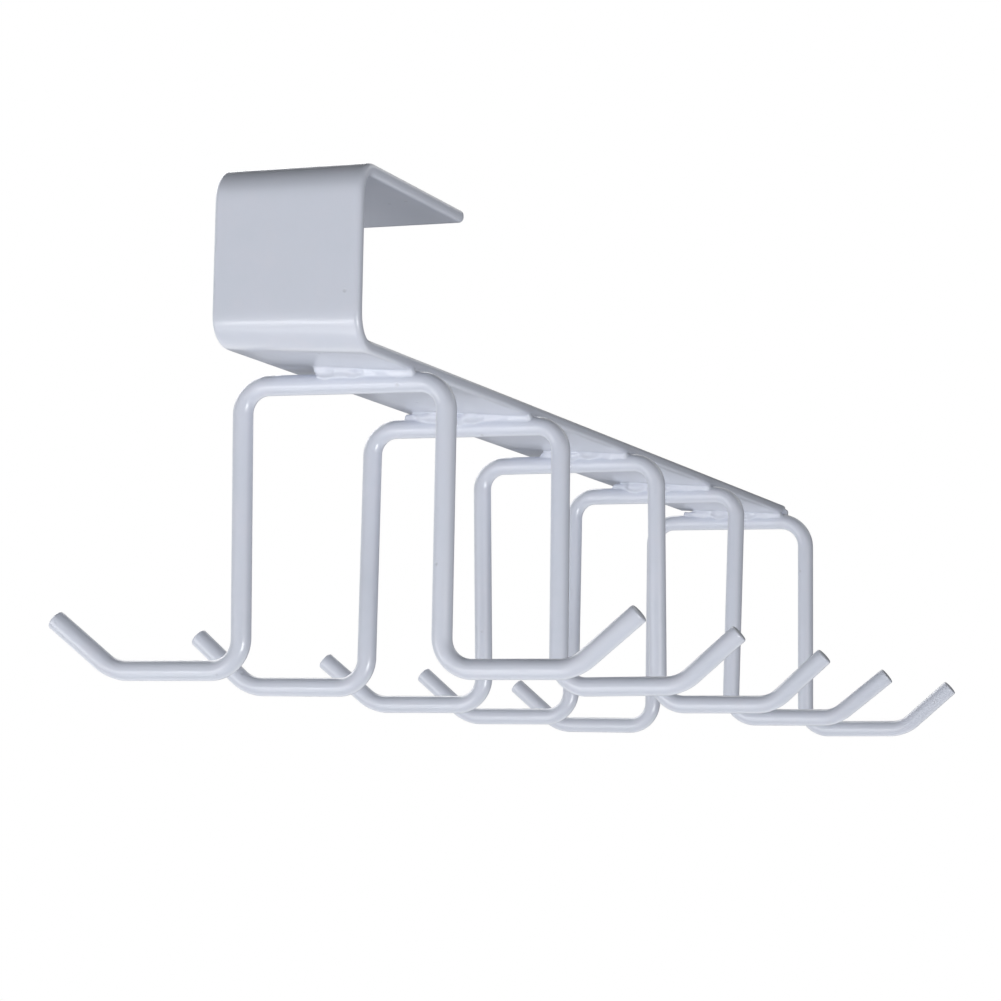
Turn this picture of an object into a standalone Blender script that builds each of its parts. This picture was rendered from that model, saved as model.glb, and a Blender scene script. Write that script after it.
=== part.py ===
"""Under-shelf hook rack: a flat bar bent to clip on a shelf board, with double wire hooks welded below it.

The origin is the middle of the shelf seat, on the underside of the top limb. X runs across the bar,
+Y runs back under the shelf and +Z is up. Lengths are in metres and angles in degrees.
"""
import math

import bmesh
import bpy
from mathutils import Matrix, Vector

# Flat bar of the clip
BAR_WIDTH = 0.0284
BAR_THICKNESS = 0.0024
BAR_EDGE_ROUND = 0.0010
BAR_INNER_BEND_RADIUS = 0.0036
BOARD_GAP = 0.0284
TOP_LIMB_LENGTH = 0.0500
SEAT_SETBACK = 0.0250
FRONT_LEAD = 0.0274
ARM_TAIL = 0.0025

# Hook wires
HOOK_COUNT = 5
HOOK_PITCH = 0.0625
WIRE_RADIUS = 0.0019
WIRE_END_ROUND = 0.0003
LEG_SPACING = 0.0400
LEG_DROP = 0.0525
FOOT_REACH = 0.0255
TIP_LENGTH = 0.0156
TIP_ANGLE = 39.5
SHOULDER_BEND_RADIUS = 0.0052
FOOT_BEND_RADIUS = 0.0058
TIP_BEND_RADIUS = 0.0080

# Welds, which stand in the gap between each wire and the bar
WELD_GAP = 0.0008
TOUCH_CLEARANCE = 0.0003
WELD_REACH = 0.0035
WELD_TOE = 0.0012
WELD_SPLIT = 0.0006
WELD_LUMP_LENGTH = 0.0050
WELD_WRAP_ANGLE = 52
WELD_TOP_LUMP_SHARE = 0.10
WELD_WRAP_LUMP_SHARE = 0.16
FRONT_WELD_START_SHARES = (-0.37, -0.92, -0.44, -0.73, -0.84)
FRONT_WELD_END_SHARES = (0.96, 0.95, 0.96, 0.94, 0.95)
REAR_WELD_START_SHARES = (-0.38, -0.66, -0.45, -0.70, -0.74)
REAR_WELD_END_SHARES = (0.93, 0.94, 0.92, 0.94, 0.95)

# Fineness of the surfaces
WIRE_SIDES = 16
RIGHT_ANGLE_STEPS = 6
WELD_STATIONS = 17
WELD_FACE_STEPS = 4
ROUND_SEGMENTS = 2
SHARP_ANGLE = 60
RIGHT_ANGLE = 90

# Places and sizes that follow
TOP_LIMB_Z = BAR_THICKNESS / 2
ARM_Z = -BOARD_GAP - BAR_THICKNESS / 2
WIRE_Z = -BOARD_GAP - BAR_THICKNESS - WELD_GAP - WIRE_RADIUS
FIRST_HOOK_Y = FRONT_LEAD - SEAT_SETBACK
ARM_END_Y = FIRST_HOOK_Y + (HOOK_COUNT - 1) * HOOK_PITCH + ARM_TAIL
WELD_ROOM = min(BAR_WIDTH, LEG_SPACING - 2 * SHOULDER_BEND_RADIUS) / 2
END_WELD_REACH = ARM_TAIL / (1 + WELD_TOP_LUMP_SHARE)

# Linear colours of the enamel, a little darker where it lies thin over the welds
ENAMEL_COLOUR = (0.60, 0.62, 0.70, 1.0)
WELD_COLOUR = (0.56, 0.58, 0.65, 1.0)
ENAMEL_ROUGHNESS = 0.28
WELD_ROUGHNESS = 0.38
ENAMEL_METALLIC = 0.0


def clear_scene():
    """Removes what the file opened with."""
    for obj in list(bpy.data.objects):
        bpy.data.objects.remove(obj, do_unlink=True)


def enamel(name, colour, roughness):
    """Material of one piece, a pale glossy enamel."""
    material = bpy.data.materials.new(name)
    material.use_nodes = True
    shader = material.node_tree.nodes["Principled BSDF"]
    shader.inputs["Base Color"].default_value = colour
    shader.inputs["Roughness"].default_value = roughness
    shader.inputs["Metallic"].default_value = ENAMEL_METALLIC
    return material


def add_object(name, mesh_data, material, location, parent):
    """Turns a bmesh into a named object at its place under the rack's parent."""
    bmesh.ops.recalc_face_normals(mesh_data, faces=mesh_data.faces)
    mesh = bpy.data.meshes.new(name)
    mesh_data.to_mesh(mesh)
    mesh_data.free()
    mesh.shade_smooth()
    mesh.set_sharp_from_angle(angle=math.radians(SHARP_ANGLE))
    mesh.materials.append(material)
    obj = bpy.data.objects.new(name, mesh)
    bpy.context.scene.collection.objects.link(obj)
    obj.parent = parent
    obj.location = location
    return obj


def round_edges(obj, width):
    """Rounds the edges that are sharper than the limit, such as a bar's long edges and a wire's cut rims."""
    bevel = obj.modifiers.new("Rounded edges", "BEVEL")
    bevel.width = width
    bevel.segments = ROUND_SEGMENTS
    bevel.limit_method = "ANGLE"
    bevel.angle_limit = math.radians(SHARP_ANGLE)
    bevel.use_clamp_overlap = True


def bend_steps(angle):
    """Number of flats on a bend, in proportion to its angle."""
    return max(1, round(abs(angle) / RIGHT_ANGLE * RIGHT_ANGLE_STEPS))


def run_stock(profile, corners, radii, bend_axis):
    """Pushes a profile along a line of corners and bends it round each one, as stock is bent on a former.

    The profile is a list of points about the stock's centre, as (across the plane of the bends, along the axis
    of the bends). The corners are where the centre lines of the straights meet, and each radius is the centre
    line's.
    """
    directions = [(end - start).normalized() for start, end in zip(corners, corners[1:])]
    lengths = [(end - start).length for start, end in zip(corners, corners[1:])]
    turns = []
    for before, after in zip(directions, directions[1:]):
        turns.append(math.atan2(before.cross(after).dot(bend_axis), before.dot(after)))
    setbacks = [0] + [radius * math.tan(abs(turn) / 2) for radius, turn in zip(radii, turns)] + [0]

    bm = bmesh.new()
    normal = bend_axis.cross(directions[0])
    ring = [bm.verts.new(corners[0] + normal * across + bend_axis * along) for across, along in profile]
    face = bm.faces.new(ring)
    place = corners[0].copy()
    for index, (direction, length) in enumerate(zip(directions, lengths)):
        straight = length - setbacks[index] - setbacks[index + 1]
        face = push_face(bm, face, direction * straight)
        place += direction * straight
        if index < len(turns):
            face, place = bend_face(bm, face, place, direction, turns[index], radii[index], bend_axis)
    return bm


def push_face(bm, face, offset):
    """Extrudes the end face straight on and returns the new end."""
    geometry = [face] + list(face.edges) + list(face.verts)
    result = bmesh.ops.extrude_face_region(bm, geom=geometry)
    moved = [item for item in result["geom"] if isinstance(item, bmesh.types.BMVert)]
    bmesh.ops.translate(bm, verts=moved, vec=offset)
    return next(item for item in result["geom"] if isinstance(item, bmesh.types.BMFace))


def bend_face(bm, face, place, direction, turn, radius, bend_axis):
    """Spins the end face round one bend and returns the new end and its centre."""
    side = math.copysign(1, turn)
    centre = place + bend_axis.cross(direction) * (side * radius)
    geometry = [face] + list(face.edges) + list(face.verts)
    steps = bend_steps(math.degrees(turn))
    result = bmesh.ops.spin(bm, geom=geometry, cent=centre, axis=bend_axis, angle=turn, steps=steps)
    end = next(item for item in result["geom_last"] if isinstance(item, bmesh.types.BMFace))
    return end, centre + Matrix.Rotation(turn, 3, bend_axis) @ (place - centre)


def clip_bar():
    """The flat bar: top limb, front face and long arm, in one U that is open at the back."""
    half_thickness = BAR_THICKNESS / 2
    half_width = BAR_WIDTH / 2
    profile = [
        (-half_thickness, -half_width),
        (half_thickness, -half_width),
        (half_thickness, half_width),
        (-half_thickness, half_width),
    ]
    front_y = half_thickness - SEAT_SETBACK
    corners = [
        Vector((0, TOP_LIMB_LENGTH - SEAT_SETBACK, TOP_LIMB_Z)),
        Vector((0, front_y, TOP_LIMB_Z)),
        Vector((0, front_y, ARM_Z)),
        Vector((0, ARM_END_Y, ARM_Z)),
    ]
    radius = BAR_INNER_BEND_RADIUS + half_thickness
    return run_stock(profile, corners, [radius, radius], Vector((1, 0, 0)))


def hook_wire():
    """One double hook about the middle of its top bar: tip, foot, leg, top bar, leg, foot and tip."""
    profile = []
    for side in range(WIRE_SIDES):
        angle = math.tau * side / WIRE_SIDES
        profile.append((WIRE_RADIUS * math.cos(angle), WIRE_RADIUS * math.sin(angle)))
    leg_x = LEG_SPACING / 2
    foot_x = leg_x + FOOT_REACH
    tip_x = foot_x + TIP_LENGTH * math.cos(math.radians(TIP_ANGLE))
    tip_z = TIP_LENGTH * math.sin(math.radians(TIP_ANGLE)) - LEG_DROP
    right = [(leg_x, 0), (leg_x, -LEG_DROP), (foot_x, -LEG_DROP), (tip_x, tip_z)]
    left = [(-x, z) for x, z in reversed(right)]
    corners = [Vector((x, 0, z)) for x, z in left + right]
    radii = [TIP_BEND_RADIUS, FOOT_BEND_RADIUS, SHOULDER_BEND_RADIUS]
    return run_stock(profile, corners, radii + radii[::-1], Vector((0, 1, 0)))


def weld_outline(reach, wrap, toe_share):
    """One cut across a bead, as (distance from the wire's middle plane, height above the wire's centre).

    It is flat under the bar, rounded outside, and hollow where it lies round the top of the wire.
    """
    top = WIRE_RADIUS + WELD_GAP - TOUCH_CLEARANCE
    seat_radius = WIRE_RADIUS + TOUCH_CLEARANCE
    inner = WELD_SPLIT / 2
    inner_angle = math.asin(inner / seat_radius)
    outer = inner + (reach - inner) * toe_share
    contact_angle = inner_angle + (math.radians(wrap) - inner_angle) * toe_share
    contact = Vector((math.sin(contact_angle), math.cos(contact_angle))) * seat_radius
    shoulder = Vector((outer, top))
    belly = Vector((max(outer, contact.x), contact.y))
    points = [Vector((inner, top)), shoulder]
    for step in range(1, WELD_FACE_STEPS):
        share = step / WELD_FACE_STEPS
        points.append(shoulder.lerp(belly, share).lerp(belly.lerp(contact, share), share))
    for step in range(WELD_FACE_STEPS + 1):
        angle = contact_angle + (inner_angle - contact_angle) * step / WELD_FACE_STEPS
        points.append(Vector((math.sin(angle), math.cos(angle))) * seat_radius)
    return points


def weld_bead(start_x, end_x, side, mean_reach, phase):
    """A lumpy bead along one side of a wire's top bar, thin at both of its toes."""
    bm = bmesh.new()
    rings = []
    for station in range(WELD_STATIONS):
        along = station / (WELD_STATIONS - 1)
        x = start_x + (end_x - start_x) * (1 - math.cos(math.pi * along)) / 2
        toe = min(1, min(x - start_x, end_x - x) / WELD_TOE)
        toe_share = (1 + 2 * toe * (2 - toe)) / 3
        wave = math.tau * (x - start_x) / WELD_LUMP_LENGTH + phase
        reach = mean_reach * (1 + WELD_TOP_LUMP_SHARE * math.sin(wave))
        wrap = WELD_WRAP_ANGLE * (1 + WELD_WRAP_LUMP_SHARE * math.sin(wave * math.sqrt(2)))
        outline = weld_outline(reach, wrap, toe_share)
        rings.append([bm.verts.new((x, side * point.x, point.y)) for point in outline])
    for near, far in zip(rings, rings[1:]):
        for index in range(len(near)):
            bm.faces.new((near[index - 1], near[index], far[index], far[index - 1]))
    bm.faces.new(rings[0])
    bm.faces.new(rings[-1])
    return bm


def build_rack():
    """Puts every piece of the rack in its place."""
    rack = bpy.data.objects.new("hook_rack", None)
    bpy.context.scene.collection.objects.link(rack)

    bar = add_object("clip_bar", clip_bar(), enamel("clip_bar", ENAMEL_COLOUR, ENAMEL_ROUGHNESS), (0, 0, 0), rack)
    round_edges(bar, BAR_EDGE_ROUND)

    for index in range(HOOK_COUNT):
        number = index + 1
        place = (0, FIRST_HOOK_Y + index * HOOK_PITCH, WIRE_Z)

        name = f"hook_wire_{number}"
        wire = add_object(name, hook_wire(), enamel(name, ENAMEL_COLOUR, ENAMEL_ROUGHNESS), place, rack)
        round_edges(wire, WIRE_END_ROUND)

        row = index % len(FRONT_WELD_START_SHARES)
        rear_reach = END_WELD_REACH if number == HOOK_COUNT else WELD_REACH
        sides = (
            ("front", -1, WELD_REACH, FRONT_WELD_START_SHARES[row], FRONT_WELD_END_SHARES[row]),
            ("rear", 1, rear_reach, REAR_WELD_START_SHARES[row], REAR_WELD_END_SHARES[row]),
        )
        for label, side, reach, start_share, end_share in sides:
            name = f"weld_{label}_{number}"
            bead = weld_bead(start_share * WELD_ROOM, end_share * WELD_ROOM, side, reach, number + side)
            add_object(name, bead, enamel(name, WELD_COLOUR, WELD_ROUGHNESS), place, rack)


clear_scene()
build_rack()
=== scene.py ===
"""Dressed under-shelf hook rack: a finer bar, wires and welds in glossy enamel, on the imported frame.

The frame is the CAD model's: the origin is the middle of the shelf seat, X runs across the bar, +Y runs back
under the shelf and +Z is up. Lengths are in metres and angles in degrees.
"""
import math

import bmesh
import bpy
import numpy as np
from mathutils import Matrix, Vector

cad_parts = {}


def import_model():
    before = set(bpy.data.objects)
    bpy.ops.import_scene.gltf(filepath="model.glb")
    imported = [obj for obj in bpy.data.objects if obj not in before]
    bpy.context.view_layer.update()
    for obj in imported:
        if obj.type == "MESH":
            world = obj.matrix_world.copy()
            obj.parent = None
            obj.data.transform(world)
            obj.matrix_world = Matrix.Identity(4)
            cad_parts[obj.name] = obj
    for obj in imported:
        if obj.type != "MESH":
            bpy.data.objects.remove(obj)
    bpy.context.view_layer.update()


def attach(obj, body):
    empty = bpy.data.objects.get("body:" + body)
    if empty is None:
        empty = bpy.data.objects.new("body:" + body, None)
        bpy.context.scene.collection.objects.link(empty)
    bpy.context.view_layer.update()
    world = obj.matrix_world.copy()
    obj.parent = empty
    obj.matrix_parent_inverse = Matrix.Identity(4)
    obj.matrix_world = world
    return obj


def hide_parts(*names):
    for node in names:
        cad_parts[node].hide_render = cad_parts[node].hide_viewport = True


BODY = "root"

# Sizes of the CAD model
BAR_WIDTH = 0.0284
BAR_THICKNESS = 0.0024
BAR_INNER_BEND_RADIUS = 0.0036
BOARD_GAP = 0.0284
TOP_LIMB_LENGTH = 0.0500
SEAT_SETBACK = 0.0250
FRONT_LEAD = 0.0274
ARM_TAIL = 0.0025
HOOK_COUNT = 5
HOOK_PITCH = 0.0625
WIRE_RADIUS = 0.0019
LEG_SPACING = 0.0400
LEG_DROP = 0.0525
FOOT_REACH = 0.0255
TIP_LENGTH = 0.0156
TIP_ANGLE = 39.5
SHOULDER_BEND_RADIUS = 0.0052
FOOT_BEND_RADIUS = 0.0058
TIP_BEND_RADIUS = 0.0080
WELD_GAP = 0.0008

# Places that follow from them
WIRE_Z = -BOARD_GAP - BAR_THICKNESS - WELD_GAP - WIRE_RADIUS
FIRST_HOOK_Y = FRONT_LEAD - SEAT_SETBACK
ARM_END_Y = FIRST_HOOK_Y + (HOOK_COUNT - 1) * HOOK_PITCH + ARM_TAIL

# Rounding and fineness of the bar and the wires
BAR_EDGE_ROUND = 0.0010
BAR_END_ROUND = 0.0005
BAR_EDGE_STEPS = 8
BAR_FACE_STEPS = 8
BAR_BEND_EASE_SHARE = 0.25
WIRE_END_ROUND = 0.00035
WIRE_SIDES = 32
END_ROUND_STEPS = 4
STRAIGHT_STEP = 0.0020
BEND_STEP_ANGLE = 4
BEND_SUBSTEPS = 8
BEND_FLATTEN_SHARE = 0.03

# Where each bead starts and ends, as shares of half the bar's width, from the middle of its wire's top bar
FRONT_WELD_SPAN_SHARES = ((-0.37, 1.00), (-0.92, 1.00), (-0.44, 0.98), (-0.73, 0.98), (-0.84, 0.99))
REAR_WELD_SPAN_SHARES = ((-0.34, 0.96), (-0.66, 0.96), (-0.41, 0.95), (-0.70, 0.96), (-0.74, 0.97))

# Weld metal: the bead's place off the wire's axis, its thickness, its fillets, how far the front and the rear
# bead keep off the plane between them, and how far both sink into the wire and the bar
WELD_OUT = 0.0011
WELD_UP = 0.0020
WELD_RADIUS = 0.0009
WELD_FILLET = 0.0016
WELD_BLEND = 0.0008
WELD_SPLIT = 0.0002
WELD_SINK = 0.00005

# How the bead runs out: it starts in a long sunken toe, ends in a short one, and is thinner on the right
WELD_START_TOE = 0.0055
WELD_START_SINK = 0.0006
WELD_END_TOE = 0.0004
WELD_END_SHARE = 0.55
WELD_THIN_START = -0.0010
WELD_THIN_LENGTH = 0.0040
WELD_THIN_SHARE = 0.28

# How the bead wanders along its length, with the lengths of the waves
WELD_WAVE = 0.00020
WELD_OUT_WAVELENGTHS = (0.011, 0.0047)
WELD_UP_WAVELENGTHS = (0.009, 0.0041)
WELD_RADIUS_WAVE_SHARE = 0.14
WELD_RADIUS_WAVELENGTHS = (0.012, 0.0053, 0.0031)
WELD_FILLET_WAVE_SHARE = 0.10
WELD_FILLET_WAVELENGTHS = (0.013, 0.0071)

# Grid on which a bead's skin is found, and the room round the bead that it covers
WELD_CELL = 0.00022
WELD_MARGIN = 0.0014
WELD_DEPTH = 0.0066
WELD_BELOW = 0.0022
WELD_ABOVE = 0.0016
WELD_BORDER_SHARE = 0.25
WELD_SMOOTH_ROUNDS = 2
WELD_SMOOTH_SHARE = 0.5

# Stands in for a fillet of no size, which nothing can be divided by
LEAST_BLEND = 1e-9

# Lumps of weld metal, which are stretched along x: the hook, then x, y and z about the middle of its top bar,
# and the radius
WELD_LUMPS = (
    (0, -0.0030, -0.0020, 0.0023, 0.0012),
    (0, 0.0004, -0.0019, 0.0024, 0.0008),
    (0, 0.0026, -0.0020, 0.0018, 0.0006),
    (1, -0.0062, -0.0018, 0.0022, 0.0010),
    (1, -0.0020, -0.0019, 0.0014, 0.0010),
    (1, 0.0020, -0.0020, 0.0019, 0.0010),
    (2, 0.0005, -0.0020, 0.0018, 0.0009),
    (2, 0.0052, -0.0018, 0.0022, 0.0008),
    (3, -0.0045, -0.0019, 0.0019, 0.0010),
    (3, 0.0024, -0.0019, 0.0016, 0.0008),
    (4, -0.0020, -0.0018, 0.0021, 0.0009),
    (4, 0.0050, -0.0019, 0.0017, 0.0009),
    (4, 0.0138, 0.0010, 0.0023, 0.0010),
)
WELD_LUMP_STRETCH = 1.8

# How far each hook was bent and set by hand off the true shape. First come its lean back, turn and roll. Then
# come, for the left side and for the right, the splay of the leg, the lift of the foot and the lift of the
# tip, in degrees, and how much longer the leg and the foot are.
HOOK_SETS = (
    ((0.87, 1.81, -0.29), (-0.99, 0.69, -1.29, 0.00007, 0.00017), (-0.01, 0.25, 0.41, -0.00033, -0.00050)),
    ((-0.86, 1.78, -0.18), (-0.13, 0.24, 1.28, -0.00015, -0.00005), (0.80, 0.12, 0.94, -0.00035, -0.00060)),
    ((2.69, 1.51, 0.18), (-0.43, 0.59, -0.50, -0.00002, 0.00016), (0.29, -0.41, 2.28, -0.00001, -0.00030)),
    ((-1.57, 1.51, -0.15), (-0.45, 0.27, 0.82, 0.00003, 0.00016), (-0.50, 0.63, -0.83, -0.00005, -0.00064)),
    ((0.44, 0.18, -0.34), (-0.36, 0.54, 0.21, -0.00054, -0.00017), (0.71, -0.01, 1.23, -0.00012, -0.00039)),
)
LAST_RIGHT_SHOULDER_RADIUS = 0.0066
ARM_ROLL = 3.4

# Enamel, with linear colours. A pattern's scale is in cells per metre, and a range is the stretch of its
# value over which it takes effect.
ENAMEL_COLOUR = (0.600, 0.630, 0.715)
ENAMEL_COOL = (0.586, 0.622, 0.704)
ENAMEL_WARM = (0.614, 0.636, 0.718)
ENAMEL_ROUGHNESS = 0.28
ENAMEL_IOR = 1.5
COAT_SHARE = 0.3
COAT_ROUGHNESS = 0.12
CLOUD_SCALE = 120.0
CLOUD_TINT_RANGE = (0.25, 0.75)
CLOUD_GLOSS_RANGE = (0.20, 0.80)
CLOUD_ROUGHNESS = 0.05
FINE_SCALE = 420.0
FINE_TINT_RANGE = (0.30, 0.70)
TINT_DETAIL = 2.0
PEEL_SCALE = 900.0
PEEL_HEIGHT = 0.0000025
SAG_SCALE = 150.0
SAG_HEIGHT = 0.000006
WAVE_DETAIL = 1.0
PIT_SCALE = 260.0
PIT_PICK_RANGE = (0.86, 0.90)
PIT_EDGE_RANGE = (0.04, 0.13)
PIT_COLOUR = (0.30, 0.30, 0.32)
PIT_COLOUR_SHARE = 0.30
PIT_ROUGHNESS = 0.2
PIT_DEPTH = 0.00008

# How strong the orange peel is on each kind of piece, and how the patterns are shifted from piece to piece
BAR_PEEL_SHARE = 0.5
WIRE_PEEL_SHARE = 0.8
WELD_PEEL_SHARE = 1.6
HOOK_PATTERN_STEP = 0.1
WIRE_PATTERN_Y = 0.03
WELD_PATTERN_Z = 0.07

# Camera, solved from the photograph
CAMERA_PLACE = (0.23232, -0.53618, -0.11823)
CAMERA_RIGHT = (0.937223, 0.348266, 0.018023)
CAMERA_DOWN = (-0.020913, 0.107717, -0.993962)
CAMERA_FORWARD = (-0.348104, 0.931186, 0.108238)
CAMERA_LENS = 116.164
CAMERA_SENSOR = 36.0
CAMERA_NEAREST = 0.01
CAMERA_FURTHEST = 50

# Studio. Each lamp stands at the same distance from the rack: its name, degrees to the right of the camera,
# degrees above the horizon, width, height and power. A card is its name, its middle and the way from there to
# two of its edges.
STUDIO_CENTRE = (0.0, 0.1, -0.04)
LAMP_DISTANCE = 1.2
LAMPS = (
    ("Left low lamp", -38, -44, 0.60, 0.36, 1.9),
    ("Left lamp", -38, -24, 0.60, 0.42, 1.2),
    ("Left strip lamp", -40, -18, 0.40, 0.18, 1.4),
    ("Right lamp", 30, -14, 0.50, 0.36, 6.7),
    ("Left side lamp", -72, -14, 0.60, 0.60, 3.5),
    ("Rear left lamp", -142, -40, 1.20, 0.90, 2.5),
    ("Rear top lamp", -150, 38, 1.20, 1.00, 8.0),
    ("Rear right lamp", 135, -45, 1.40, 1.10, 4.5),
)
CARDS = (
    ("Top card", (0.25, -0.055, 0.30), (0.50, 0.0, 0.0), (0.0, 0.395, 0.0)),
    ("Right card", (0.80, 0.65, 0.0), (0.0, 0.60, 0.0), (0.0, 0.0, 0.42)),
    ("Rear card", (0.0, 1.15, -0.05), (0.8, 0.0, 0.0), (0.0, 0.0, 0.47)),
)
CARD_GREY = 0.09
MATT_ROUGHNESS = 0.9
WHITE = (1.0, 1.0, 1.0, 1.0)
WHITE_STRENGTH = 1.0
WORLD_COLOUR = (0.93, 0.96, 1.0, 1.0)
WORLD_STRENGTH = 0.20
FLOOR_Z = -1.90
FLOOR_RADIUS = 5.0
FLOOR_SEGMENTS = 64
FLOOR_GREY = 0.85
FLOOR_PALENESS = 0.55


def bend_curve(turn, radius, ease_share):
    """Steps round a bend, and how far it starts before its corner.

    A step is (along, across, angle, depth), where depth grows to 1 at the bend's middle and falls again. The
    curvature grows over the first share of the bend and dies away over the last, as in a bar bent in air.
    """
    count = max(2, round(math.degrees(turn) / BEND_STEP_ANGLE)) * BEND_SUBSTEPS
    fulls = [1] * count
    if ease_share:
        middles = [(step + 0.5) / count for step in range(count)]
        fulls = [min(1, middle / ease_share, (1 - middle) / ease_share) for middle in middles]
    pace = turn * radius / sum(fulls)
    along, across, angle = 0.0, 0.0, 0.0
    steps = []
    for step, full in enumerate(fulls):
        if step % BEND_SUBSTEPS == 0:
            steps.append((along, across, angle, math.sin(math.pi * step / count)))
        angle += full * pace / radius / 2
        along += math.cos(angle) * pace
        across += math.sin(angle) * pace
        angle += full * pace / radius / 2
    return steps, along - across / math.tan(turn)


def straight_shares(length, long_steps):
    """Where the stations on a straight lie, as shares of its length: evenly, or only near its ends."""
    if long_steps:
        near = STRAIGHT_STEP / length
        return [0, near, 1 - near]
    count = max(1, round(length / STRAIGHT_STEP))
    return [step / count for step in range(count)]


def bent_path(corners, radii, bend_axis, ease_share=0.0, long_steps=False):
    """Points along straights and bends, each with its direction and its depth in a bend, 0 to 1."""
    directions = [(end - start).normalized() for start, end in zip(corners, corners[1:])]
    turns = []
    for before, after in zip(directions, directions[1:]):
        turns.append(math.atan2(before.cross(after).dot(bend_axis), before.dot(after)))
    bends = [bend_curve(abs(turn), radius, ease_share) for radius, turn in zip(radii, turns)]

    stations = []
    start = corners[0]
    for index, direction in enumerate(directions):
        last = index == len(turns)
        end = corners[index + 1] - direction * (0 if last else bends[index][1])
        for share in straight_shares((end - start).length, long_steps):
            stations.append((start.lerp(end, share), direction, 0.0))
        if last:
            stations.append((end, direction, 0.0))
            break
        side = math.copysign(1, turns[index])
        inward = bend_axis.cross(direction) * side
        for along, across, angle, depth in bends[index][0]:
            spin = Matrix.Rotation(side * angle, 3, bend_axis)
            stations.append((end + direction * along + inward * across, spin @ direction, depth))
        start = corners[index + 1] + directions[index + 1] * bends[index][1]
    return stations


def mesh_object(name, mesh_data, material):
    """A smooth-shaded object from a bmesh, on the rack's body."""
    bmesh.ops.recalc_face_normals(mesh_data, faces=mesh_data.faces)
    mesh = bpy.data.meshes.new(name)
    mesh_data.to_mesh(mesh)
    mesh_data.free()
    mesh.shade_smooth()
    mesh.materials.append(material)
    obj = bpy.data.objects.new(name, mesh)
    bpy.context.scene.collection.objects.link(obj)
    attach(obj, BODY)
    return obj


def cut_end(rounding):
    """How far along the stock and how far in each ring of a rounded cut end lies, from the face inwards."""
    rows = []
    for step in range(END_ROUND_STEPS + 1):
        angle = math.radians(90 * step / END_ROUND_STEPS)
        rows.append((rounding * (1 - math.cos(angle)), rounding * (1 - math.sin(angle))))
    return rows


def swept_stock(name, stations, rounding, ring, material):
    """An object swept along a path, with round rims at its two cut ends.

    The ring function gives the points round the stock at a place on the path, from the direction there, how
    far in from the full size they lie, and the depth in a bend.
    """
    (first, first_way, _), (last, last_way, _) = stations[0], stations[-1]
    end = cut_end(rounding)
    outlines = [ring(first + first_way * along, first_way, inset, 0) for along, inset in end]
    outlines += [ring(point, direction, 0, depth) for point, direction, depth in stations[1:-1]]
    outlines += [ring(last - last_way * along, last_way, inset, 0) for along, inset in reversed(end)]
    bm = bmesh.new()
    rings = [[bm.verts.new(point) for point in outline] for outline in outlines]
    for near, far in zip(rings, rings[1:]):
        for index in range(len(near)):
            bm.faces.new((near[index - 1], near[index], far[index], far[index - 1]))
    bm.faces.new(rings[0])
    bm.faces.new(rings[-1])
    return mesh_object(name, bm, material)


def bar_profile():
    """The bar's cross-section with soft corners, as (through the thickness, across the width)."""
    inner_thickness = BAR_THICKNESS / 2 - BAR_EDGE_ROUND
    inner_width = BAR_WIDTH / 2 - BAR_EDGE_ROUND
    points = []
    for side_t, side_w, first in ((1, 1, 0), (-1, 1, 90), (-1, -1, 180), (1, -1, 270)):
        for step in range(BAR_EDGE_STEPS + 1):
            angle = math.radians(first + 90 * step / BAR_EDGE_STEPS)
            points.append((
                side_t * inner_thickness + BAR_EDGE_ROUND * math.cos(angle),
                side_w * inner_width + BAR_EDGE_ROUND * math.sin(angle),
            ))
        if side_t != side_w:
            for step in range(1, BAR_FACE_STEPS):
                across = side_w * inner_width * (1 - 2 * step / BAR_FACE_STEPS)
                points.append((side_t * BAR_THICKNESS / 2, across))
    return points


def make_bar(material):
    """The flat bar with soft edges and eased bends. The roll of its arm grows round the lower bend."""
    half_thickness = BAR_THICKNESS / 2
    half_width = BAR_WIDTH / 2
    front_y = half_thickness - SEAT_SETBACK
    corners = [
        Vector((0, TOP_LIMB_LENGTH - SEAT_SETBACK, half_thickness)),
        Vector((0, front_y, half_thickness)),
        Vector((0, front_y, -BOARD_GAP - half_thickness)),
        Vector((0, ARM_END_Y, -BOARD_GAP - half_thickness)),
    ]
    radius = BAR_INNER_BEND_RADIUS + half_thickness
    axis = Vector((1, 0, 0))
    stations = bent_path(corners, [radius, radius], axis, BAR_BEND_EASE_SHARE, True)
    profile = bar_profile()

    def ring(point, direction, inset, _):
        roll_share = min(1, max(0, direction.y)) ** 2 if point.z < -BOARD_GAP / 2 else 0
        turn = Matrix.Rotation(math.radians(ARM_ROLL * roll_share), 3, direction)
        normal, width = turn @ axis.cross(direction), turn @ axis
        thickness_share = (half_thickness - inset) / half_thickness
        width_share = (half_width - inset) / half_width
        return [
            point + normal * (through * thickness_share) + width * (across * width_share)
            for through, across in profile
        ]

    return swept_stock("bar_enamelled", stations, BAR_END_ROUND, ring, material)


def turned(point, centre, angle):
    """A point turned about a centre in its plane."""
    return centre + Matrix.Rotation(math.radians(angle), 2) @ (point - centre)


def wire_side(side, splay, foot_lift, tip_lift, leg_extra, foot_extra):
    """Corners of one side of a hook, in its plane: the shoulder, the heel, the toe and the tip."""
    rise = math.radians(TIP_ANGLE)
    shoulder = Vector((side * LEG_SPACING / 2, 0))
    heel = shoulder + Vector((0, -LEG_DROP - leg_extra))
    toe = heel + Vector((side * (FOOT_REACH + foot_extra), 0))
    tip = toe + Vector((side * math.cos(rise), math.sin(rise))) * TIP_LENGTH
    tip = turned(tip, toe, side * tip_lift)
    toe, tip = (turned(point, heel, side * foot_lift) for point in (toe, tip))
    return [shoulder] + [turned(point, shoulder, side * splay) for point in (heel, toe, tip)]


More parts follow.
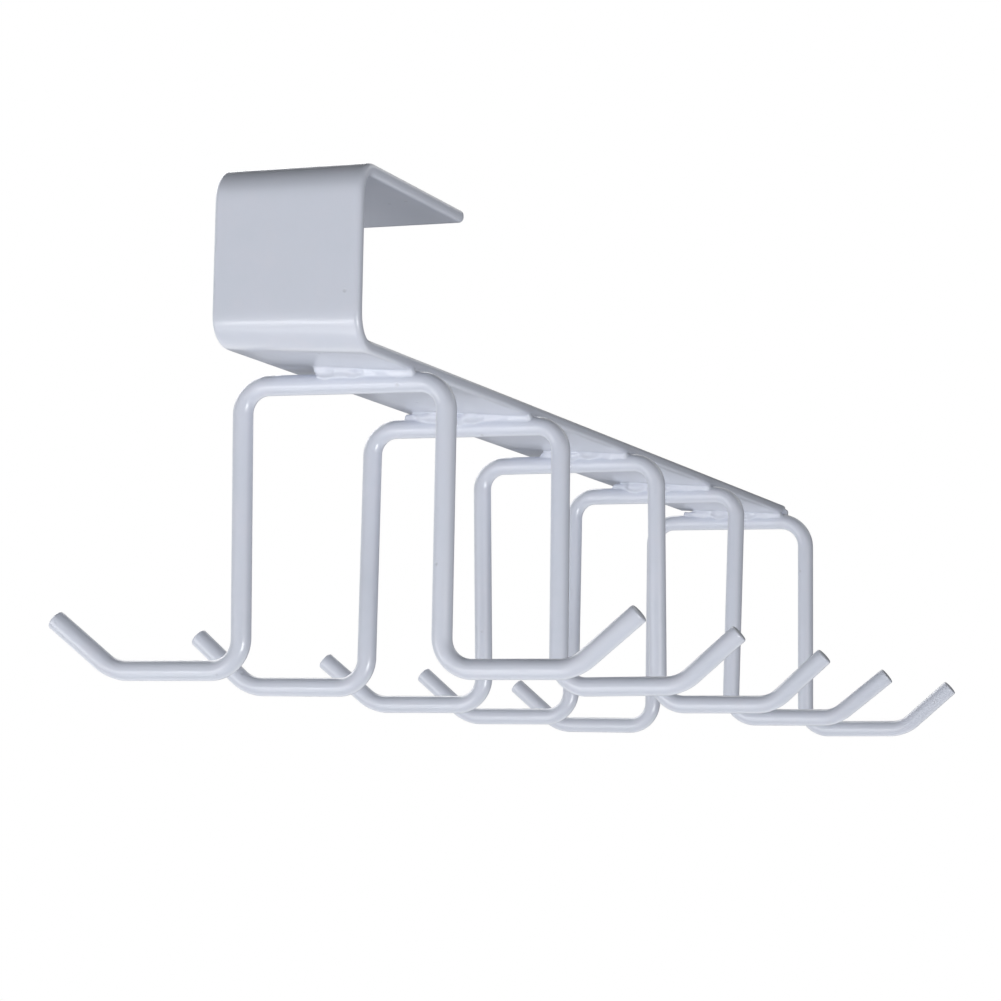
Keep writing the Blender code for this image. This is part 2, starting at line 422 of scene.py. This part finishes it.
def hook_place(index):
    """Where the middle of a hook's top bar is, and how the hook was set by hand."""
    lean, turn, roll = HOOK_SETS[index][0]
    place = Matrix.Translation((0, FIRST_HOOK_Y + index * HOOK_PITCH, WIRE_Z))
    for angle, about in ((turn, "Z"), (lean, "X"), (-roll, "Y")):
        place = place @ Matrix.Rotation(math.radians(angle), 4, about)
    return place


def make_wire(index, material):
    """One double hook of round wire, set as it was bent by hand, with flat-cut ends."""
    axis = Vector((0, 1, 0))
    last = index == HOOK_COUNT - 1
    right_shoulder_radius = LAST_RIGHT_SHOULDER_RADIUS if last else SHOULDER_BEND_RADIUS
    radii = [TIP_BEND_RADIUS, FOOT_BEND_RADIUS, SHOULDER_BEND_RADIUS]
    radii += [right_shoulder_radius, FOOT_BEND_RADIUS, TIP_BEND_RADIUS]
    left, right = HOOK_SETS[index][1:]
    corners = wire_side(-1, *left)[::-1] + wire_side(1, *right)
    stations = bent_path([Vector((corner.x, 0, corner.y)) for corner in corners], radii, axis)
    place = hook_place(index)

    def ring(point, direction, inset, depth):
        normal = axis.cross(direction)
        radius = WIRE_RADIUS - inset
        points = []
        for side in range(WIRE_SIDES):
            angle = math.tau * side / WIRE_SIDES
            across = normal * (math.cos(angle) * radius * (1 - BEND_FLATTEN_SHARE * depth))
            points.append(place @ (point + across + axis * (math.sin(angle) * radius)))
        return points

    return swept_stock(f"wire_enamelled_{index + 1}", stations, WIRE_END_ROUND, ring, material)


def smooth_union(first, second, blend):
    """The lower of two distance fields, with a fillet of the given size where they meet."""
    safe = np.maximum(blend, LEAST_BLEND)
    overlap = np.maximum(safe - np.abs(first - second), 0) / safe
    return np.minimum(first, second) - overlap * overlap * safe / 4


def wander(x, rng, lengths):
    """A smooth random wave along x, about -1 to 1."""
    total = np.zeros_like(x)
    for length in lengths:
        total += np.sin(math.tau * x / length + rng.uniform(0, math.tau))
    return total / len(lengths)


def arm_distance(x, y, z):
    """Distance from points in the rack's frame to the arm of the bar, which is rolled and has round edges."""
    roll = math.radians(ARM_ROLL)
    height = z + BOARD_GAP + BAR_THICKNESS / 2
    across = np.abs(x * math.cos(roll) - height * math.sin(roll)) - (BAR_WIDTH / 2 - BAR_EDGE_ROUND)
    through = np.abs(x * math.sin(roll) + height * math.cos(roll)) - (BAR_THICKNESS / 2 - BAR_EDGE_ROUND)
    outside = np.hypot(np.maximum(across, 0), np.maximum(through, 0))
    slab = outside + np.minimum(np.maximum(across, through), 0) - BAR_EDGE_ROUND
    return np.maximum(slab, y - (ARM_END_Y - BAR_END_ROUND))


def bead_distance(grid, start_x, end_x, side, toe, rng):
    """Distance to the wandering bead itself, which follows the arm's roll and runs out at its toes."""
    x, y, z = grid
    sunk = WELD_START_SINK * (1 - toe) * (x < 0)
    out = side * (WELD_OUT - sunk + WELD_WAVE * wander(x, rng, WELD_OUT_WAVELENGTHS))
    slope = math.tan(math.radians(ARM_ROLL)) / 2
    up = WELD_UP + WELD_WAVE * wander(x, rng, WELD_UP_WAVELENGTHS) - slope * x
    thin = np.clip((x - WELD_THIN_START) / WELD_THIN_LENGTH, 0, 1)
    radius = WELD_RADIUS * (WELD_END_SHARE + (1 - WELD_END_SHARE) * toe) * (1 - WELD_THIN_SHARE * thin)
    radius *= 1 + WELD_RADIUS_WAVE_SHARE * wander(x, rng, WELD_RADIUS_WAVELENGTHS)
    inset = np.minimum(x - start_x, end_x - x)
    beyond = np.maximum(WELD_RADIUS * WELD_END_SHARE - inset, 0)
    return np.sqrt((y - out) ** 2 + (z - up) ** 2 + beyond ** 2) - radius


def weld_field(grid, place, start_x, end_x, side, index):
    """Distance field of one bead, blended into the wire and the bar, in the frame of the wire's top bar."""
    rng = np.random.default_rng(2 * index + (side > 0))
    x, y, z = grid
    rack_x, rack_y, rack_z = (
        place[row][0] * x + place[row][1] * y + place[row][2] * z + place[row][3] for row in range(3)
    )
    wire = np.hypot(y, z) - (WIRE_RADIUS - WELD_SINK)
    bar = arm_distance(rack_x, rack_y, rack_z) + WELD_SINK
    toe = np.clip(np.minimum((x - start_x) / WELD_START_TOE, (end_x - x) / WELD_END_TOE), 0, 1)
    toe = toe * toe * (3 - 2 * toe)
    fillet = WELD_FILLET * toe * (1 + WELD_FILLET_WAVE_SHARE * wander(x, rng, WELD_FILLET_WAVELENGTHS))
    field = smooth_union(wire, bar, fillet)
    field = smooth_union(field, bead_distance(grid, start_x, end_x, side, toe, rng), WELD_BLEND)
    for hook, lump_x, lump_y, lump_z, radius in WELD_LUMPS:
        if hook == index and lump_y * side > 0:
            along = (x - lump_x) / WELD_LUMP_STRETCH
            lump = np.sqrt(along ** 2 + (y - lump_y) ** 2 + (z - lump_z) ** 2) - radius
            field = smooth_union(field, lump, WELD_BLEND)
    field = np.maximum(field, rack_y - (ARM_END_Y - WELD_SINK))
    return np.maximum(field, WELD_SPLIT - side * y)


def close_borders(field):
    """Raises the outermost layer of a field above zero, so that its zero surface is closed."""
    for axis in range(3):
        edge = [slice(None)] * 3
        for end in (0, -1):
            edge[axis] = end
            field[tuple(edge)] = np.maximum(field[tuple(edge)], WELD_CELL * WELD_BORDER_SHARE)


def cell_crossings(field):
    """For each grid cell, the count of its edges that the zero surface crosses and the sum of the crossings."""
    shape = tuple(length - 1 for length in field.shape)
    count = np.zeros(shape)
    total = np.zeros(shape + (3,))

    def at_corner(corner):
        return field[tuple(slice(start, start + length) for start, length in zip(corner, shape))]

    for near in [(i, j, k) for i in (0, 1) for j in (0, 1) for k in (0, 1)]:
        for axis in range(3):
            if near[axis]:
                continue
            far = list(near)
            far[axis] = 1
            first, second = at_corner(near), at_corner(far)
            crosses = (first < 0) != (second < 0)
            share = np.where(crosses, first / np.where(crosses, first - second, 1), 0)
            for n in range(3):
                total[..., n] += np.where(crosses, near[n] + (share if n == axis else 0), 0)
            count += crosses
    return count, total


def net_quads(field, index):
    """The quads that join the numbered cells round each grid edge that the zero surface crosses."""
    inside = field < 0
    units = np.eye(3, dtype=int)
    quads = []
    for axis in range(3):
        du, dv = units[(axis + 1) % 3], units[(axis + 2) % 3]
        near = [slice(1, length - 1) for length in field.shape]
        near[axis] = slice(0, field.shape[axis] - 1)
        far = list(near)
        far[axis] = slice(1, field.shape[axis])
        leaves = inside[tuple(near)] & ~inside[tuple(far)]
        enters = ~inside[tuple(near)] & inside[tuple(far)]
        for mask, order in ((leaves, 1), (enters, -1)):
            at = np.argwhere(mask) + 1 - units[axis]
            ring = [at - du - dv, at - dv, at, at - du][::order]
            quads.append(np.stack([index[tuple(cell.T)] for cell in ring], axis=1))
    quads = np.concatenate(quads)
    return quads[(quads >= 0).all(axis=1)]


def net_surface(field, axes):
    """Points and quads of the zero surface of a field on a regular grid, by surface nets."""
    count, total = cell_crossings(field)
    active = count > 0
    index = np.full(count.shape, -1)
    index[active] = np.arange(active.sum())
    local = total[active] / count[active][:, None]
    origin = np.array([places[0] for places in axes])
    step = np.array([places[1] - places[0] for places in axes])
    return origin + (np.argwhere(active) + local) * step, net_quads(field, index)


def make_weld(index, label, span_shares, material):
    """One weld bead as a skin that runs out smoothly on the wire and on the bar."""
    side = -1 if label == "front" else 1
    start_x, end_x = (share * BAR_WIDTH / 2 for share in span_shares)
    axes = (
        np.arange(start_x - WELD_MARGIN, end_x + WELD_MARGIN, WELD_CELL),
        np.sort(side * np.arange(-WELD_CELL, WELD_DEPTH, WELD_CELL)),
        np.arange(-WELD_BELOW, WIRE_RADIUS + WELD_GAP + WELD_ABOVE, WELD_CELL),
    )
    place = hook_place(index)
    field = weld_field(np.meshgrid(*axes, indexing="ij"), place, start_x, end_x, side, index)
    close_borders(field)
    points, quads = net_surface(field, axes)
    bm = bmesh.new()
    verts = [bm.verts.new(place @ Vector(point)) for point in points]
    for quad in quads:
        if len(set(quad)) == 4:
            bm.faces.new([verts[n] for n in quad])
    for _ in range(WELD_SMOOTH_ROUNDS):
        bmesh.ops.smooth_vert(
            bm, verts=bm.verts, factor=WELD_SMOOTH_SHARE, use_axis_x=True, use_axis_y=True, use_axis_z=True,
        )
    return mesh_object(f"weld_enamelled_{label}_{index + 1}", bm, material)


class Nodes:
    """Short calls for building a node tree."""

    def __init__(self, tree):
        self.tree = tree
        tree.nodes.clear()

    def feed(self, socket, value):
        """Links an output to an input, or sets the input's value."""
        if isinstance(value, bpy.types.NodeSocket):
            self.tree.links.new(value, socket)
        else:
            socket.default_value = value

    def add(self, kind, **values):
        """A node of that kind, with its inputs fed by name."""
        made = self.tree.nodes.new(kind)
        for name, value in values.items():
            self.feed(made.inputs[name.replace("_", " ")], value)
        return made

    def math(self, operation, first, second, clamp=False):
        """A maths node's output."""
        made = self.tree.nodes.new("ShaderNodeMath")
        made.operation = operation
        made.use_clamp = clamp
        self.feed(made.inputs[0], first)
        self.feed(made.inputs[1], second)
        return made.outputs[0]

    def mix_colour(self, share, first, second):
        """A colour between two colours."""
        made = self.tree.nodes.new("ShaderNodeMix")
        made.data_type = "RGBA"
        self.feed(made.inputs[0], share)
        for socket, colour in ((made.inputs[6], first), (made.inputs[7], second)):
            self.feed(socket, (*colour, 1.0) if isinstance(colour, tuple) else colour)
        return made.outputs[2]

    def ramp(self, value, limits):
        """0 below the lower limit, 1 above the upper, smooth between."""
        made = self.add("ShaderNodeMapRange", Value=value, From_Min=limits[0], From_Max=limits[1])
        made.interpolation_type = "SMOOTHSTEP"
        return made.outputs["Result"]

    def noise(self, place, scale, detail):
        """A noise's value."""
        return self.add("ShaderNodeTexNoise", Vector=place, Scale=scale, Detail=detail).outputs["Fac"]

    def seen(self):
        """1 for rays from the camera, a reflection or clear matter, and 0 for those that light the rack."""
        path = self.add("ShaderNodeLightPath").outputs
        shown = self.math("ADD", path["Is Camera Ray"], path["Is Glossy Ray"])
        return self.math("ADD", shown, path["Is Transmission Ray"], clamp=True)


def enamel(name, pattern_place, peel_share):
    """Pale glossy enamel on steel: cloudy tint, orange peel, a few pits and specks."""
    material = bpy.data.materials.new(name)
    material.use_nodes = True
    nodes = Nodes(material.node_tree)
    place = nodes.add("ShaderNodeTexCoord").outputs["Object"]
    moved = nodes.add("ShaderNodeMapping", Vector=place, Location=pattern_place).outputs["Vector"]

    cloud = nodes.noise(moved, CLOUD_SCALE, TINT_DETAIL)
    fine = nodes.noise(moved, FINE_SCALE, TINT_DETAIL)
    peel_wave = nodes.noise(moved, PEEL_SCALE, WAVE_DETAIL)
    sag_wave = nodes.noise(moved, SAG_SCALE, WAVE_DETAIL)
    grit = nodes.add("ShaderNodeTexVoronoi", Vector=moved, Scale=PIT_SCALE)
    grit_pick = nodes.add("ShaderNodeSeparateColor", Color=grit.outputs["Color"]).outputs["Red"]
    dot = nodes.math("SUBTRACT", 1.0, nodes.ramp(grit.outputs["Distance"], PIT_EDGE_RANGE))
    pit = nodes.math("MULTIPLY", dot, nodes.ramp(grit_pick, PIT_PICK_RANGE))

    tint = nodes.mix_colour(nodes.ramp(cloud, CLOUD_TINT_RANGE), ENAMEL_COOL, ENAMEL_WARM)
    tint = nodes.mix_colour(nodes.ramp(fine, FINE_TINT_RANGE), tint, ENAMEL_COLOUR)
    colour = nodes.mix_colour(nodes.math("MULTIPLY", pit, PIT_COLOUR_SHARE), tint, PIT_COLOUR)

    cloudy = nodes.math("MULTIPLY", nodes.ramp(cloud, CLOUD_GLOSS_RANGE), CLOUD_ROUGHNESS)
    roughness = nodes.math("ADD", cloudy, ENAMEL_ROUGHNESS)
    roughness = nodes.math("ADD", roughness, nodes.math("MULTIPLY", pit, PIT_ROUGHNESS))

    height = nodes.math("MULTIPLY", peel_wave, peel_share * PEEL_HEIGHT)
    height = nodes.math("ADD", height, nodes.math("MULTIPLY", sag_wave, SAG_HEIGHT))
    height = nodes.math("SUBTRACT", height, nodes.math("MULTIPLY", pit, PIT_DEPTH))
    bump = nodes.add("ShaderNodeBump", Height=height, Distance=1.0, Strength=1.0).outputs["Normal"]

    shader = nodes.add("ShaderNodeBsdfPrincipled", Base_Color=colour, Roughness=roughness, Normal=bump)
    shader.inputs["IOR"].default_value = ENAMEL_IOR
    shader.inputs["Coat Weight"].default_value = COAT_SHARE
    shader.inputs["Coat Roughness"].default_value = COAT_ROUGHNESS
    nodes.add("ShaderNodeOutputMaterial", Surface=shader.outputs["BSDF"])
    return material


def matt_surface(name, grey):
    """A dull grey material, with its nodes and its shader."""
    material = bpy.data.materials.new(name)
    material.use_nodes = True
    nodes = Nodes(material.node_tree)
    colour = (grey, grey, grey, 1.0)
    shader = nodes.add("ShaderNodeBsdfPrincipled", Base_Color=colour, Roughness=MATT_ROUGHNESS)
    nodes.add("ShaderNodeOutputMaterial", Surface=shader.outputs["BSDF"])
    return material, nodes, shader


def make_camera():
    """The camera at the photograph's place and angle."""
    data = bpy.data.cameras.new("Photo camera")
    data.lens = CAMERA_LENS
    data.sensor_width = CAMERA_SENSOR
    data.clip_start = CAMERA_NEAREST
    data.clip_end = CAMERA_FURTHEST
    camera = bpy.data.objects.new("Photo camera", data)
    right, down, forward = Vector(CAMERA_RIGHT), Vector(CAMERA_DOWN), Vector(CAMERA_FORWARD)
    turn = Matrix((right, -down, -forward)).transposed().to_4x4()
    camera.matrix_world = Matrix.Translation(CAMERA_PLACE) @ turn
    bpy.context.scene.collection.objects.link(camera)
    bpy.context.scene.camera = camera


def make_lamp(name, azimuth, elevation, width, height, power):
    """A soft rectangular lamp that faces the rack and that the camera doesn't see."""
    towards_camera = Vector(CAMERA_FORWARD[:2]) * -1
    around = math.atan2(towards_camera.y, towards_camera.x) + math.radians(azimuth)
    up = math.radians(elevation)
    way = Vector((math.cos(up) * math.cos(around), math.cos(up) * math.sin(around), math.sin(up)))
    data = bpy.data.lights.new(name, "AREA")
    data.shape = "RECTANGLE"
    data.size = width
    data.size_y = height
    data.energy = power
    lamp = bpy.data.objects.new(name, data)
    lamp.location = Vector(STUDIO_CENTRE) + way * LAMP_DISTANCE
    lamp.rotation_euler = (Vector(STUDIO_CENTRE) - lamp.location).to_track_quat("-Z", "Y").to_euler()
    lamp.visible_camera = False
    bpy.context.scene.collection.objects.link(lamp)


def make_card(name, centre, half_u, half_v):
    """A dark card beside the rack, as in a photo studio, that the camera doesn't see."""
    centre, half_u, half_v = Vector(centre), Vector(half_u), Vector(half_v)
    corners = [centre + half_u * u + half_v * v for u, v in ((-1, -1), (1, -1), (1, 1), (-1, 1))]
    mesh = bpy.data.meshes.new(name)
    mesh.from_pydata(corners, [], [(0, 1, 2, 3)])
    mesh.materials.append(matt_surface(name, CARD_GREY)[0])
    card = bpy.data.objects.new(name, mesh)
    card.visible_camera = False
    bpy.context.scene.collection.objects.link(card)


def make_world():
    """Soft even light, and plain white where the camera or a reflection sees past everything."""
    world = bpy.data.worlds.new("Studio")
    bpy.context.scene.world = world
    world.use_nodes = True
    nodes = Nodes(world.node_tree)
    soft = nodes.add("ShaderNodeBackground", Color=WORLD_COLOUR, Strength=WORLD_STRENGTH)
    white = nodes.add("ShaderNodeBackground", Color=WHITE, Strength=WHITE_STRENGTH)
    mix = nodes.add("ShaderNodeMixShader")
    for socket, value in zip(mix.inputs, (nodes.seen(), soft.outputs[0], white.outputs[0])):
        nodes.feed(socket, value)
    nodes.add("ShaderNodeOutputWorld", Surface=mix.outputs[0])


def make_floor():
    """A wide floor well below the rack, nearly white to the camera and in reflections."""
    bm = bmesh.new()
    bmesh.ops.create_circle(bm, cap_ends=True, segments=FLOOR_SEGMENTS, radius=FLOOR_RADIUS)
    mesh = bpy.data.meshes.new("Floor")
    bm.to_mesh(mesh)
    bm.free()
    material, nodes, shader = matt_surface("Floor", FLOOR_GREY)
    shader.inputs["Emission Color"].default_value = WHITE
    nodes.feed(shader.inputs["Emission Strength"], nodes.math("MULTIPLY", nodes.seen(), FLOOR_PALENESS))
    mesh.materials.append(material)
    floor = bpy.data.objects.new("Floor", mesh)
    floor.location = (0, 0, FLOOR_Z)
    bpy.context.scene.collection.objects.link(floor)


def main():
    """Builds the studio and the rack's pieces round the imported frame."""
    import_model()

    make_camera()
    make_world()
    make_floor()
    for lamp in LAMPS:
        make_lamp(*lamp)
    for card in CARDS:
        make_card(*card)

    bar = make_bar(enamel("Bar enamel", (0, 0, 0), BAR_PEEL_SHARE))
    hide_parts("clip_bar")
    for index in range(HOOK_COUNT):
        pattern_x = HOOK_PATTERN_STEP * index
        look = enamel(f"Wire enamel {index + 1}", (pattern_x, WIRE_PATTERN_Y, 0), WIRE_PEEL_SHARE)
        wire = make_wire(index, look)
        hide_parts(f"hook_wire_{index + 1}")
        for label, spans in (("front", FRONT_WELD_SPAN_SHARES), ("rear", REAR_WELD_SPAN_SHARES)):
            look = enamel(f"Weld enamel {label} {index + 1}", (pattern_x, 0, WELD_PATTERN_Z), WELD_PEEL_SHARE)
            weld = make_weld(index, label, spans[index], look)
            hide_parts(f"weld_{label}_{index + 1}")

    view = bpy.context.scene.view_settings
    view.view_transform = "Standard"


main()
